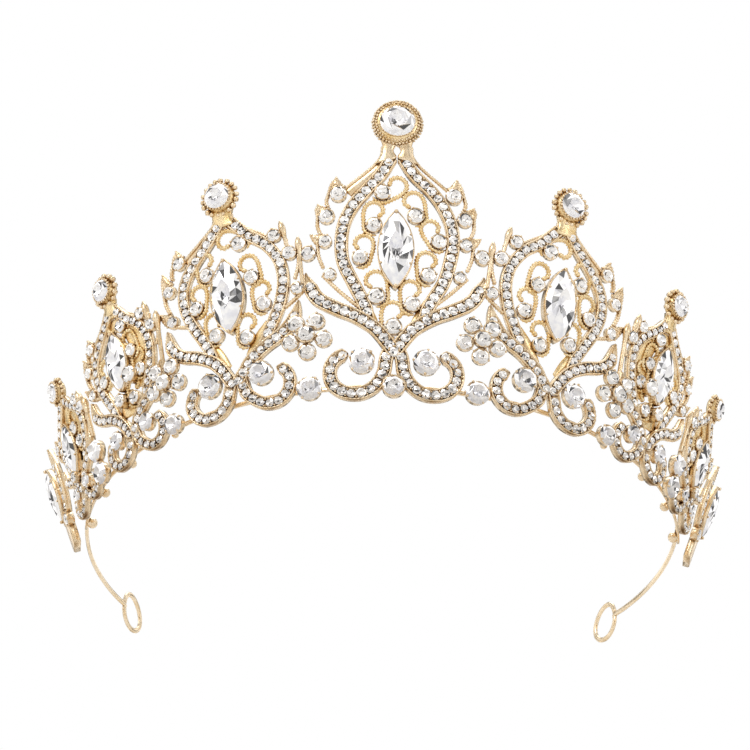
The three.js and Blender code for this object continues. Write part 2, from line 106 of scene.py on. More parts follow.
# ---- mesh tools
class Work:
    """Points and three-cornered faces gathered into one mesh. A mark says which of its materials a shell has."""

    def __init__(self):
        self.points, self.faces, self.marks, self.count = [], [], [], 0

    def add(self, points, faces, mark=0):
        """Takes one closed shell, and turns its faces outwards if its signed volume is negative."""
        a, b, c = (points[faces[:, k]] - points.mean(0) for k in range(3))
        if np.einsum("ij,ij->", a, np.cross(b, c)) < 0:
            faces = faces[:, ::-1]
        self.points.append(points)
        self.faces.append(faces + self.count)
        self.marks.append(np.full(len(faces), mark))
        self.count += len(points)

    def repeat(self, points, faces, centres, sizes, frames=None, mark=0):
        """Copies a shell to each centre: its points turned by the frames, times the sizes, plus the centres."""
        sizes = np.broadcast_to(np.asarray(sizes, float), (len(centres),))
        turned = np.einsum("nij,kj->nki", frames, points) if frames is not None else points[None]
        placed = turned * sizes[:, None, None] + np.asarray(centres)[:, None, :]
        shift = np.arange(len(centres))[:, None, None] * len(points)
        self.points.append(placed.reshape(-1, 3))
        self.faces.append((faces[None] + shift).reshape(-1, 3) + self.count)
        self.marks.append(np.full(len(faces) * len(centres), mark))
        self.count += placed.shape[0] * placed.shape[1]

    def piece(self, name, site, materials, nodes, slot, smooth=True):
        """Makes the Blender object: the places are laid on the site, and the object stays at the origin."""
        points = site.lay(np.concatenate(self.points))
        faces = np.concatenate(self.faces).astype(np.int32)
        mesh = bpy.data.meshes.new(name)
        mesh.vertices.add(len(points))
        mesh.vertices.foreach_set("co", points.astype(np.float32).ravel())
        mesh.loops.add(faces.size)
        mesh.loops.foreach_set("vertex_index", faces.ravel())
        mesh.polygons.add(len(faces))
        mesh.polygons.foreach_set("loop_start", np.arange(0, faces.size, 3, dtype=np.int32))
        mesh.polygons.foreach_set("use_smooth", np.full(len(faces), smooth))
        for material in materials:
            mesh.materials.append(material)
        mesh.polygons.foreach_set("material_index", np.concatenate(self.marks).astype(np.int32))
        mesh.update(calc_edges=True)
        mesh.validate()
        piece = bpy.data.objects.new(name, mesh)
        bpy.context.scene.collection.objects.link(piece)
        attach(piece, "root")
        if nodes:
            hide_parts(*nodes)


def split(quads):
    """Each four-cornered face as two three-cornered ones."""
    return np.concatenate([quads[:, [0, 1, 2]], quads[:, [0, 2, 3]]])


def wrap(rows, columns, closed_rows=False):
    """Faces of a grid that closes round its columns, and round its rows too if they are closed."""
    row = np.arange(rows if closed_rows else rows - 1)[:, None]
    column = np.arange(columns)[None]
    after, beside = (row + 1) % rows, (column + 1) % columns
    corners = [row * columns + column, row * columns + beside, after * columns + beside, after * columns + column]
    return split(np.stack(np.broadcast_arrays(*corners), -1).reshape(-1, 4))


def circle(count):
    """Angles evenly round a circle."""
    return np.linspace(0, 2 * np.pi, count, endpoint=False)


def unit(vectors):
    """Each vector divided by its length."""
    return vectors / np.linalg.norm(vectors, axis=1, keepdims=True)


def points_at(line, run, at):
    """Points of a line at these lengths along it. Run is the length at each of its own points."""
    return np.stack([np.interp(at, run, line[:, k]) for k in range(line.shape[1])], 1)


def length_along(line):
    """The length from a line's start to each of its points."""
    return np.r_[0, np.cumsum(np.linalg.norm(np.diff(line, axis=0), axis=1))]


def smooth_line(points, step):
    """A Catmull-Rom curve through the points, with points at an even spacing of about step."""
    p = np.asarray(points, float)
    p = np.vstack([2 * p[0] - p[1], p, 2 * p[-1] - p[-2]])
    spans = len(p) - 3
    t = np.linspace(0, spans, spans * 24 + 1)
    i = np.minimum(t.astype(int), spans - 1)
    f = (t - i)[:, None]
    a, b, c, d = p[i], p[i + 1], p[i + 2], p[i + 3]
    q = (2 * b + (c - a) * f + (2 * a - 5 * b + 4 * c - d) * f ** 2 + (3 * b - a - 3 * c + d) * f ** 3) / 2
    run = length_along(q)
    at = np.linspace(0, run[-1], max(2, round(run[-1] / step)) + 1)
    return points_at(q, run, at), at


def closed_skin(rows, columns):
    """Faces of a grid that closes round its columns, with a fan at each end to one more point."""
    edge = np.arange(columns)
    beside = (edge + 1) % columns
    first, last, top = rows * columns, rows * columns + 1, (rows - 1) * columns
    return np.concatenate([wrap(rows, columns), np.stack([np.full(columns, first), beside, edge], 1),
                           np.stack([np.full(columns, last), top + edge, top + beside], 1)])


def loft(work, points, mark=0):
    """A skin over a grid of points: each row is a closed outline, and the first and last are capped."""
    ends = np.stack([points[0].mean(0), points[-1].mean(0)])
    work.add(np.concatenate([points.reshape(-1, 3), ends]), closed_skin(*points.shape[:2]), mark)


def swept(work, line, profile, depth=0.0, mark=0):
    """Carries a closed profile along a flat line: each of its points is the line's point, plus its first number
    times the direction across the line, plus its second number out of the face."""
    along = unit(np.gradient(line, axis=0))
    across = np.stack([-along[:, 1], along[:, 0]], 1)
    flat = line[:, None] + across[:, None] * profile[..., :1]
    loft(work, np.concatenate([flat, profile[..., 1:] + depth], 2), mark)


def sheet(work, inner, outer, low, high, mark=0):
    """A cast sheet between two edges. Across it, the points go evenly from the inner edge to the outer one, with
    rounded edges and a slight crown."""
    shares = np.array([0, 0, 0.12, 0.5, 0.88, 1, 1, 0.5])
    rises = np.array([low, high - 0.3, high, high + 0.15, high, high - 0.3, low, low])
    count = max(8, round(np.linalg.norm(np.diff(outer, axis=0), axis=1).sum() / 0.5))
    edges = []
    for points in (inner, outer):
        line, run = smooth_line(points, 0.1)
        edges.append(points_at(line, run, np.linspace(0, run[-1], count))[:, None])
    flat = edges[0] * (1 - shares[:, None]) + edges[1] * shares[:, None]
    loft(work, np.concatenate([flat, np.broadcast_to(rises[:, None], (count, 8, 1))], 2), mark)


def ring(work, centre, profile, sides=28, mark=0):
    """Turns a closed profile of (radius, depth) round a centre."""
    turn = circle(sides)[:, None]
    radius, depth = np.asarray(profile, float).T[:, None, :]
    points = np.stack([radius * np.cos(turn), radius * np.sin(turn), depth + 0 * turn], -1) + np.asarray(centre)
    work.add(points.reshape(-1, 3), wrap(sides, len(profile), closed_rows=True), mark)


def globe(lifts, sides, shifts=0.0):
    """A ball of radius 1: a ring of points at each angle up from its middle, turned by its shift, and a point at
    each pole."""
    lift, turn = lifts[:, None], circle(sides) + shifts
    rings = np.stack([np.cos(lift) * np.cos(turn), np.cos(lift) * np.sin(turn), np.sin(lift) + 0 * turn], -1)
    return np.vstack([rings.reshape(-1, 3), [[0, 0, -1], [0, 0, 1]]]), closed_skin(len(lifts), sides)


GRAIN = globe(np.radians([-50, 0, 50]), 6, np.array([[0], [0.5], [0]]))
DROP = globe(np.linspace(-np.pi / 2, np.pi / 2, 12)[1:-1], 18)


def beads(work, centres, radius, mark=0):
    """Grains of metal: one small ball at each centre."""
    work.repeat(*GRAIN, np.asarray(centres, float), radius, mark=mark)


def facets(levels, counts, offsets, heart, outline=None):
    """A cut stone. Each level is (scale, depth) of its outline, with a number of points and a turn of part of a
    step. Two levels are joined by three-cornered facets. The foot is closed flat, and the last level is the edge
    of the table, from where the facets of the silvered back fall to one point at the heart's depth."""
    points, starts = [], []
    for (scale, depth), count, offset in zip(levels, counts, offsets):
        turn = (np.arange(count) + offset) / count * 2 * np.pi
        flat = np.stack([np.cos(turn), np.sin(turn)], 1) / 2 if outline is None else outline(turn)
        starts.append(sum(len(p) for p in points))
        points.append(np.column_stack([flat * scale, np.full(count, depth)]))
    faces = []
    for k in range(len(levels) - 1):
        low, high = counts[k], counts[k + 1]
        a, b = starts[k], starts[k + 1]
        i = np.arange(min(low, high))
        j = (i + 1) % len(i)
        if low == high:
            made = [(a + i, a + j, b + i), (a + j, b + j, b + i)]
        elif low == 2 * high:
            odd, even = a + 2 * i + 1, a + (2 * i + 2) % low
            made = [(a + 2 * i, odd, b + i), (odd, even, b + j), (odd, b + j, b + i)]
        else:
            odd, even = b + 2 * i + 1, b + (2 * i + 2) % high
            made = [(a + i, odd, b + 2 * i), (a + i, a + j, odd), (a + j, even, odd)]
        faces += [np.stack(corners, 1) for corners in made]
    low = np.arange(1, counts[0] - 1)
    faces.append(np.stack([np.zeros_like(low), low + 1, low], 1))
    edge = np.arange(counts[-1])
    beside = (edge + 1) % counts[-1]
    faces.append(np.stack([starts[-1] + edge, starts[-1] + beside, np.full(len(edge), sum(counts))], 1))
    return np.vstack([*points, [[0, 0, heart]]]), np.concatenate(faces)


def tilts(count, spread):
    """Turning frames for set stones: a full random turn about their own axis, and a small random tilt."""
    turn = RNG.uniform(0, 2 * np.pi, count)
    lean = RNG.normal(0, spread, (count, 2))
    c, s = np.cos(turn), np.sin(turn)
    frames = np.zeros((count, 3, 3))
    frames[:, 0, 0], frames[:, 0, 1] = c, -s
    frames[:, 1, 0], frames[:, 1, 1] = s, c
    frames[:, 2, 2] = 1
    frames[:, 2, 0] = lean[:, 0] * c + lean[:, 1] * s
    frames[:, 2, 1] = -lean[:, 0] * s + lean[:, 1] * c
    frames[:, 0, 2], frames[:, 1, 2] = -lean[:, 0], -lean[:, 1]
    return frames


# Levels of (scale, depth), both as parts of a stone's width, and the depth of its heart.
SMALL_CUT = facets([(0.5, -0.28), (1, 0), (0.64, 0.15)], [8, 8, 8], [0, 0.5, 0], 0.02)
LARGE_CUT = facets([(0.4, -0.36), (1, -0.03), (1, 0), (0.8, 0.11), (0.56, 0.17), (0.36, 0.06)],
                   [8, 16, 16, 8, 8, 8], [0, 0, 0, 0.5, 0, 0.5], -0.05)


# ---- materials
def add_node(tree, kind, values=None, **settings):
    """A new shader node, with its settings and the values of its inputs."""
    node = tree.nodes.new("ShaderNode" + kind)
    for setting, value in settings.items():
        setattr(node, setting, value)
    for socket, value in (values or {}).items():
        node.inputs[socket].default_value = value
    return node


def join(tree, *links):
    """Links, each as (node, its output, the next node, its input)."""
    for source, output, target, socket in links:
        tree.links.new(source.outputs[output], target.inputs[socket])


def shaded(name):
    """A new material, its tree and its shader."""
    material = bpy.data.materials.new(name)
    material.use_nodes = True
    return material, material.node_tree, material.node_tree.nodes["Principled BSDF"]


def two_tones(tree, place, bright, dull, scale, detail, spread):
    """A dull and a bright tone, mixed by a cloud pattern whose values are spread over the two."""
    cloud = add_node(tree, "TexNoise", {"Scale": scale, "Detail": detail})
    share = add_node(tree, "MapRange", {"From Min": spread[0], "From Max": spread[1]})
    tone = add_node(tree, "Mix", {"A": (*dull, 1), "B": (*bright, 1)}, data_type="RGBA")
    join(tree, (place, "Object", cloud, "Vector"), (cloud, "Fac", share, "Value"),
         (share, "Result", tone, "Factor"))
    return tone


def cast_gold_finish(name, bright, dull, painted_shade_tone, roughness, grain):
    """Gold plate over a cast: two tones mixed by a cloud pattern, with painted shade, as ambient occlusion pulls
    the colour towards a shade tone where it lies close to other metal or stones; roughness from a finer pattern,
    and a fine grain."""
    material, tree, shader = shaded(name)
    shader.inputs["Metallic"].default_value = 1.0
    place = add_node(tree, "TexCoord")
    tone = two_tones(tree, place, bright, dull, 420.0, 3.0, (0.36, 0.56))
    fine = add_node(tree, "TexNoise", {"Scale": 2600.0})
    rough = add_node(tree, "MapRange", {"To Min": roughness[0], "To Max": roughness[1]})
    bump = add_node(tree, "Bump", {"Strength": grain, "Distance": 0.0001})
    # Painted shade: ambient occlusion darkens the colour towards the shade tone where metal lies close to other
    # metal or stones.
    shade_by_occlusion = add_node(tree, "AmbientOcclusion", {"Distance": 0.0011}, samples=8)
    depth = add_node(tree, "MapRange", {"From Min": 0.15, "From Max": 0.86})
    shade_painted_colour = add_node(tree, "Mix", {"A": (*painted_shade_tone, 1)}, data_type="RGBA")
    join(tree, (shade_by_occlusion, "AO", depth, "Value"), (depth, "Result", shade_painted_colour, "Factor"),
         (tone, "Result", shade_painted_colour, "B"), (shade_painted_colour, "Result", shader, "Base Color"),
         (place, "Object", fine, "Vector"), (fine, "Fac", rough, "Value"), (rough, "Result", shader, "Roughness"),
         (fine, "Fac", bump, "Height"), (bump, "Normal", shader, "Normal"))
    return material


def foil_finish(name, bright, dull, roughness):
    """A cut stone over its silvered back: a mirror whose tone drifts a little, under a clear coat."""
    material, tree, shader = shaded(name)
    shader.inputs["Metallic"].default_value = 1.0
    shader.inputs["Roughness"].default_value = roughness
    shader.inputs["Coat Weight"].default_value = 0.4
    shader.inputs["Coat Roughness"].default_value = 0.03
    tone = two_tones(tree, add_node(tree, "TexCoord"), bright, dull, 650.0, 2.0, (0.35, 0.6))
    join(tree, (tone, "Result", shader, "Base Color"))
    return material


# The third tone of each gold is painted shade, laid into creases and next to stones by ambient occlusion.
CAST_GOLD = cast_gold_finish("cast_gold_plate", bright=(0.94, 0.77, 0.54), dull=(0.80, 0.60, 0.36),
                             painted_shade_tone=(0.34, 0.19, 0.07), roughness=(0.14, 0.34), grain=0.4)
DEEP_GOLD = cast_gold_finish("deep_gold_plate", bright=(0.95, 0.76, 0.46), dull=(0.84, 0.60, 0.28),
                             painted_shade_tone=(0.46, 0.26, 0.07), roughness=(0.16, 0.36), grain=0.5)
PLAIN_GOLD = cast_gold_finish("plain_gold_plate", bright=(0.95, 0.79, 0.57), dull=(0.88, 0.70, 0.46),
                              painted_shade_tone=(0.40, 0.26, 0.12), roughness=(0.12, 0.24), grain=0.05)
SMALL_FOIL = foil_finish("small_stone_crystal", bright=(0.98, 0.96, 0.93), dull=(0.80, 0.79, 0.79), roughness=0.06)
STONE_FOIL = foil_finish("stone_foil", bright=(0.98, 0.97, 0.96), dull=(0.82, 0.82, 0.86), roughness=0.05)


# ---- parts of a casting
def narrowed(run, taper, start=0.0):
    """A share of the width at each point: it grows evenly from a start over the taper at either end, up to 1."""
    share = np.ones(len(run))
    for length, left in zip(taper, (run, run[-1] - run)):
        if length:
            share = np.minimum(share, start + left / length)
    return share


def channel(work, line, run, width, depth=0.0, taper=(0.0, 0.0)):
    """A rail with a sunk channel between two milgrain lips. Across it, the profile rises from the back to a lip,
    drops to the floor, and mirrors. Each lip rises and falls by a squared sine of the run, one grain a pitch.
    The width narrows to a point over the taper at either end."""
    half = np.maximum(width / 2 * narrowed(run, taper) ** 0.7, 0.14)[:, None]
    grains = 0.13 * np.sin(np.pi * run / MILGRAIN_PITCH)[:, None] ** 2
    lip = np.minimum(0.5, half * 0.45)
    rising = [half, half + grains * 0.3, half - 0.3 * lip, half - 0.8 * lip, half - 1.15 * lip]
    flat = 0 * half
    heights = [flat, flat + 1.15, LIP_TOP + grains, LIP_TOP + grains, flat + CHANNEL_FLOOR]
    across = np.concatenate([-place for place in rising] + rising[::-1], 1)
    out = np.concatenate(heights + heights[::-1], 1)
    swept(work, line, np.stack([across, out], 2), depth)


def wire(work, line, run, radius, middle=0.85, flat=1.0, grain=0.16, taper=(0.0, 0.0), mark=0):
    """A round wire with milgrain: its radius swells and shrinks with a squared sine of the run."""
    grains = 1 - grain + 2 * grain * np.sin(np.pi * run / MILGRAIN_PITCH) ** 2
    swell = radius * narrowed(run, taper, 0.25) * grains
    turn = circle(8)[None]
    profile = np.stack([swell[:, None] * np.cos(turn), middle + flat * swell[:, None] * np.sin(turn)], 2)
    swept(work, line, profile, mark=mark)


def pave(stones, metal, line, run, size, ends, depth=0.0):
    """A row of small stones down the channel, from one end's margin to the other's, and a grain on each side
    between every two of them."""
    length = run[-1] - ends[0] - ends[1]
    count = max(1, int(length / PAVE_PITCH) + 1)
    at = ends[0] + (np.arange(count) + 0.5 * (length / PAVE_PITCH - count + 1)) * PAVE_PITCH
    stones.repeat(*SMALL_CUT, np.column_stack([points_at(line, run, at), np.full(count, PAVE_GIRDLE + depth)]),
                  size * RNG.uniform(0.95, 1.04, count), tilts(count, 0.09))
    between = (at[:-1] + at[1:]) / 2
    here = points_at(line, run, between)
    along = unit(points_at(line, run, between + 0.1) - here)
    across = np.stack([-along[:, 1], along[:, 0]], 1) * size * 0.36
    grains = np.concatenate([here + across, here - across])
    if len(grains):
        beads(metal, np.column_stack([grains, np.full(len(grains), PAVE_GIRDLE + 0.1 + depth)]), 0.27)


def cup(metal, u, v, size, girdle, back=0.0, claws=4, wall=0.1, start=None):
    """A thin cup under a round stone, and claws over its girdle."""
    radius = size / 2
    ring(metal, (u, v, 0), [(radius * 0.55, back), (radius + wall, back + 0.3), (radius + wall, girdle - 0.1),
                            (radius + 0.5 * wall, girdle + 0.12), (radius - 0.12, girdle - 0.02),
                            (radius * 0.55, back + 0.5)])
    turn = (RNG.uniform(0, 6) if start is None else start) + circle(claws)
    reach = radius + 0.02
    beads(metal, np.stack([u + reach * np.cos(turn), v + reach * np.sin(turn), np.full(claws, girdle + 0.14)], 1),
          0.2 + 0.03 * size)


def seated(stones, metal, u, v, size, girdle=1.7, back=0.0, claws=4):
    """One medium stone in its cup."""
    cup(metal, u, v, size, girdle, back, claws)
    stones.repeat(*LARGE_CUT, [(u, v, girdle)], size * 1.02, tilts(1, 0.05))


def pointed_oval(width, height):
    """The outline of a navette as a function of turn: two equal arcs that meet at the points."""
    radius = (height ** 2 + width ** 2) / (4 * width)
    half = np.arcsin(height / 2 / radius)

    def outline(turn):
        turn = np.mod(turn + np.pi / 2, 2 * np.pi) - np.pi / 2
        right = turn <= np.pi / 2
        share = np.where(right, turn / (np.pi / 2), (np.pi - turn) / (np.pi / 2))
        swing = share * half
        u = radius * np.cos(swing) - radius + width / 2
        return np.stack([np.where(right, u, -u), radius * np.sin(swing)], 1)

    return outline


def navette(name, site, node, width, height, rise):
    """A pointed oval stone: its cut face round the facets of its silvered back."""
    levels = [(0.4, -0.3 * width), (1, -0.12), (1, 0), (0.76, 0.11 * width), (0.42, 0.17 * width),
              (0.26, 0.07 * width)]
    points, faces = facets(levels, [16, 16, 16, 16, 16, 8], [0, 0, 0, 0.5, 0, 0], -0.05 * width,
                           pointed_oval(width, height))
    work = Work()
    work.add(points + [0, rise, NAVETTE_GIRDLE], faces)
    work.piece(name, site, [STONE_FOIL], [node], "crystal", smooth=False)


def round_stone(name, site, node, size, u, v, girdle):
    """A large round stone: its cut face round the facets of its silvered back."""
    work = Work()
    work.repeat(*LARGE_CUT, [(u, v, girdle)], size * 1.07, tilts(1, 0.03))
    work.piece(name, site, [STONE_FOIL], [node], "crystal", smooth=False)


def bezel(metal, width, height, rise):
    """A thin wall round a navette, as a pointed oval carried round, and claws at its points and shoulders."""
    corners = pointed_oval(width + 0.1, height + 0.5)(np.linspace(0, 2 * np.pi, 49)[:-1])
    corners = np.vstack([corners, corners[:1]]) + [0, rise]
    run = length_along(corners)
    line = points_at(corners, run, np.linspace(0, run[-1], 90))
    girdle = NAVETTE_GIRDLE
    profile = np.array([(-0.2, 0.3), (-0.22, girdle - 0.3), (-0.1, girdle + 0.02), (0.1, girdle - 0.1),
                        (0.2, 0.3)])
    swept(metal, line, np.repeat(profile[None], len(line), 0))
    claws = pointed_oval(width - 0.1, height - 0.3)(np.radians([32, 148, 212, 328, 90, 270])) + [0, rise]
    beads(metal, np.column_stack([claws, np.full(6, girdle + 0.12)]), [0.3] * 4 + [0.5] * 2)


def scroll(metal, stones, u, v, size, angle, side):
    """A C of milgrain wire round a small stone and the open eye beside it. Angle is the direction from the stone
    to the eye, in degrees, and side is which side of that line the wire runs."""
    axis = np.array([np.cos(np.radians(angle)), np.sin(np.radians(angle))])
    cross = np.array([axis[1], -axis[0]]) * side
    drawn_for = 3.7               # the width of stone that the shape fits as it is
    shape = np.array([(-1.2, 2.5), (-2.1, 3.6), (-1.6, 5.3), (0.1, 6.05), (1.8, 5.3), (2.5, 3.4), (2.5, 1.3),
                      (2.35, -0.9), (1.2, -2.2), (-0.4, -2.45)]) * size / drawn_for
    line, run = smooth_line(np.array([u, v]) + shape[:, :1] * cross + shape[:, 1:] * axis, FINE)
    wire(metal, line, run, 0.52, flat=1.2, taper=(0, 2.0), grain=0.26, mark=1)
    beads(metal, [(*line[0], 0.9)], 0.62, mark=1)
    seated(stones, metal, u, v, size, claws=3)


def spur(metal, stones, stone, tip, foot, size):
    """A flame outside the rail: the stone in its cup, and a stem that rises from its foot, on the rail or at the
    stone below, and passes outside the stone. Where there is a tip, the stem ends in it, behind a granulated leaf
    whose width falls to nothing there."""
    stone, foot = np.array(stone, float), np.array(foot, float)
    outwards = np.sign(stone[0]) * size * 0.62
    if tip is not None:
        tip = np.array(tip, float)
        line, run = smooth_line([stone * 0.75 + tip * 0.25, (stone + tip) / 2 + [outwards * 0.1, 0], tip], 0.3)
        half = (size * 0.55) * (1 - run / run[-1]) ** 0.8 + 0.16
        turn = circle(10)[None]
        rough = 1 + 0.1 * np.sin(run * 7.1)[:, None] * np.cos(3 * turn)
        swept(metal, line, np.stack([half[:, None] * np.cos(turn) * rough, 0.85 + 0.75 * np.sin(turn) * rough], 2))
        at = line[2:-1:2, None] + RNG.uniform(-0.4, 0.4, (len(line[2:-1:2]), 2, 2)) * half[2:-1:2, None, None]
        beads(metal, np.column_stack([at.reshape(-1, 2), np.full(at.size // 2, 1.5)]), 0.26)
        line, run = smooth_line([foot, (foot + stone) / 2 + [outwards * 0.7, 0], stone + [outwards, 0.3],
                                 (stone + tip) / 2 + [outwards * 0.62, 0.2], tip], FINE)
        wire(metal, line, run, 0.46, flat=1.5, taper=(0, 1.5))
    else:
        line, run = smooth_line([foot, (foot + stone) / 2 + [outwards * 0.7, 0], stone + [outwards, 0]], FINE)
        wire(metal, line, run, 0.46, flat=1.4)
    seated(stones, metal, *stone, size)


def spike(metal, foot, top):
    """A plain bar outside the rail: its radius swells towards the top, and falls to a blunt point."""
    line, run = smooth_line([foot, top], 0.4)
    left = run[-1] - run
    radius = np.clip(0.5 + 0.4 * np.exp(-((left - 2.2) / 1.6) ** 2) - 0.45 * np.exp(-left / 0.5), 0.2, 1)[:, None]
    turn = circle(8)[None]
    swept(metal, line, np.stack([radius * np.cos(turn), 0.9 + 1.2 * radius * np.sin(turn)], 2))


def finial(metal, spec):
    """A granulated collar. The large one has three rows of grains, and the others one row of round beads, outside
    a fine row round the stone."""
    v, size, collar = spec["finial"]
    inner, outer, top = size / 2, collar / 2, FINIAL_TOP
    wall = outer - 0.85 if spec["beaded"] else outer - 0.35
    ring(metal, (0, v, 0), [(inner - 0.5, 0.2), (wall - 0.25, 0.2), (wall, 0.9), (wall - 0.1, 1.7),
                            (wall - 0.5, 2.2), (inner + 0.4, top - 0.1), (inner + 0.02, top - 0.1),
                            (inner - 0.5, top - 1.2)], 40, mark=1)
    rows = [(outer - 0.2, 1.2, 0.38), (outer - 0.45, 1.9, 0.38), (outer - 1.05, 2.35, 0.38),
            (inner + 0.35, top - 0.1, 0.36)]
    if spec["beaded"]:
        rows = [(outer - 0.4, 1.4, spec["beaded"]), (inner + 0.45, top - 0.1, 0.36)]
    for radius, depth, grain in rows:
        count = round(2 * np.pi * radius / (grain * 2.15))
        turn = (np.arange(count) + RNG.uniform(-0.12, 0.12, count)) / count * 2 * np.pi
        reach = radius + RNG.uniform(-0.08, 0.08, count)
        beads(metal, np.stack([reach * np.cos(turn), v + reach * np.sin(turn), np.full(count, depth)], 1),
              grain * RNG.uniform(0.9, 1.1, count))


# ---- the palmettes
# Lines are points of (u, v), and a stone is given by its width. Scrolls are (u, v, stone, angle, side), linkers and
# studs (u, v, stone), spurs (place, tip, foot, stone), spikes (foot, top), and fills (one edge, the other). The
# finial is (v, stone, collar), the navette (width, height, v), and volute_stones (u, v, stone). Beaded is the
# radius of the finial's beads, and filled the side whose rim has a sheet under it: -1, 1, or 2 for both.
CENTRE = {
    "rails": [
        [(-1.3, 60.9), (-3.6, 56.7), (-7.0, 52.5), (-10.0, 48.7), (-12.0, 44.3), (-12.6, 39.6), (-12.1, 34.5),
         (-9.9, 29.5), (-7.7, 25.0), (-6.0, 21.0), (-4.5, 18.0)],
        [(1.5, 60.9), (4.1, 56.7), (8.1, 52.7), (10.8, 49.1), (12.8, 44.7), (13.4, 40.0), (12.7, 35.0),
         (11.2, 29.7), (8.6, 24.8), (6.6, 20.6), (5.0, 17.8)]],
    "leaves": [
        [(side * u, v) for u, v in [(-0.6, 10.6), (0.9, 12.8), (2.9, 15.6), (4.9, 17.8), (9.1, 20.6), (13.6, 22.8),
                                    (18.0, 25.8), (20.4, 30.6), (20.6, 32.2)]] for side in (-1, 1)],
    "volutes": [
        [(side * u, v) for u, v in [(0.3, 13.0), (1.5, 10.9), (1.9, 9.2), (2.2, 6.9), (3.2, 4.6), (5.0, 2.6),
                                    (7.3, 1.5), (9.8, 1.5), (12.0, 2.3), (13.8, 4.0), (14.6, 6.4), (14.2, 8.9),
                                    (12.5, 10.7), (10.4, 11.2)]] for side in (-1, 1)],
    "scrolls": [(-3.2, 51.8, 3.7, 30, 1), (-5.0, 43.4, 3.7, 92, -1), (4.5, 46.0, 3.8, 98, 1),
                (10.0, 39.9, 3.6, 122, -1), (-8.2, 35.2, 3.6, 78, 1), (7.6, 31.0, 3.7, 95, -1),
                (-4.2, 25.4, 3.9, 95, 1), (3.9, 23.5, 3.7, 95, -1), (-0.3, 17.7, 3.9, 92, -1)],
    "spurs": [((13.5, 51.8), (14.1, 56.2), (15.9, 48.6), 3.8), ((16.1, 46.2), (18.4, 49.6), (17.4, 41.6), 3.6),
              ((16.4, 39.8), (20.0, 41.9), (16.7, 33.2), 3.1), ((15.0, 31.3), None, (8.0, 22.6), 2.8)],
    "linkers": [(20.4, 37.2, 3.6)], "spikes": [], "studs": [],
    "fills": [([(side * u, v) for u, v in [(4.4, 16.6), (6.4, 20.2), (8.2, 24.0)]],
               [(side * u, v) for u, v in [(3.1, 17.6), (4.6, 21.4), (6.8, 25.2)]]) for side in (-1, 1)],
    "neck": ([(0.3, 60.6), (0.1, 61.3), (0.75, 62.4), (0.8, 63.3), (0.2, 64.5), (0.0, 66.0)],
             [(4.9, 59.4), (4.2, 60.6), (3.7, 61.8), (3.45, 63.0), (3.5, 64.4), (3.9, 66.0)]),
    "rim": [(3.4, 64.0), (3.7, 61.6), (5.2, 59.3), (7.4, 57.2), (9.8, 55.2), (12.4, 53.0)],
    "finial": (69.9, 7.3, 12.0), "beaded": 0, "navette": (8.0, 19.2, 37.0), "volute_stones": (7.3, 9.15, 5.8),
    "rail": 3.15, "stone": 2.32, "filled": -1,
}
INNER = {
    "rails": [
        [(2.4, 48.6), (4.4, 46.3), (6.5, 44.0), (10.4, 40.9), (13.2, 36.5), (13.9, 31.5), (12.9, 26.4),
         (10.9, 21.9), (8.9, 18.4), (6.4, 15.2)],
        [(-0.9, 48.9), (-2.4, 47.0), (-4.9, 44.2), (-8.5, 40.6), (-11.4, 36.7), (-12.1, 31.7), (-10.5, 26.4),
         (-8.0, 21.8), (-6.0, 18.2), (-3.8, 14.2)]],
    "leaves": [
        [(0.2, 7.4), (1.3, 8.9), (2.7, 10.5), (4.2, 12.5), (7.9, 15.3), (12.5, 17.9), (15.7, 21.3), (17.2, 25.4)],
        [(-0.2, 7.4), (-1.6, 9.6), (-3.2, 12.3), (-5.6, 14.9), (-9.6, 17.2), (-13.6, 18.8), (-16.4, 21.6),
         (-17.2, 26.4)]],
    "volutes": [
        [(0.6, 10.4), (1.6, 8.4), (2.0, 6.4), (2.6, 4.9), (4.3, 3.2), (6.5, 1.8), (8.7, 1.4), (10.8, 2.0),
         (12.6, 3.8), (13.2, 6.4), (12.4, 8.8), (10.4, 9.9)],
        [(-0.4, 9.4), (-1.5, 7.2), (-2.0, 5.4), (-2.7, 3.6), (-4.6, 1.9), (-6.9, 1.3), (-9.4, 1.7), (-11.4, 3.4),
         (-12.3, 5.7), (-11.5, 8.2), (-9.8, 9.4)]],
    "scrolls": [(3.8, 42.6, 3.7, 150, 1), (-5.1, 36.8, 3.6, 100, -1), (6.2, 33.3, 3.6, 100, 1),
                (-8.5, 29.3, 3.5, 80, 1), (8.7, 26.1, 3.6, 96, -1), (-3.8, 21.0, 3.6, 100, -1),
                (3.9, 18.6, 3.6, 88, -1)],
    "spurs": [((12.7, 42.7), None, (15.2, 40.0), 3.2), ((15.9, 37.7), None, (16.6, 31.0), 3.4),
              ((17.0, 28.4), None, (13.6, 24.2), 3.0), ((-12.5, 42.3), (-13.0, 45.9), (-15.0, 39.0), 3.2),
              ((-15.9, 36.1), (-17.7, 41.4), (-16.4, 30.8), 3.1),
              ((-15.6, 28.3), (-19.8, 31.8), (-11.4, 25.6), 3.0)],
    "linkers": [], "spikes": [((15.6, 39.0), (14.3, 46.4)), ((18.3, 29.5), (18.2, 41.7))], "studs": [],
    "fills": [([(4.6, 13.4), (7.4, 17.0), (10.0, 20.6)], [(3.0, 14.8), (5.2, 18.6), (8.6, 22.2)]),
              ([(-2.0, 11.8), (-4.6, 15.4), (-7.0, 19.4)], [(-0.9, 13.0), (-2.7, 16.8), (-5.4, 20.6)])],
    "neck": (None, [(3.4, 47.9), (2.7, 49.0), (2.4, 50.2), (2.5, 51.3), (2.9, 52.6)]),
    "rim": [(2.3, 51.0), (2.7, 49.2), (4.4, 47.6), (6.8, 45.8), (9.2, 44.2), (11.6, 42.6)],
    "finial": (55.5, 5.6, 9.6), "beaded": 0.72, "navette": (8.2, 18.4, 29.8), "volute_stones": (6.6, 9.0, 5.7),
    "rail": 2.95, "stone": 2.22, "filled": 2,
}


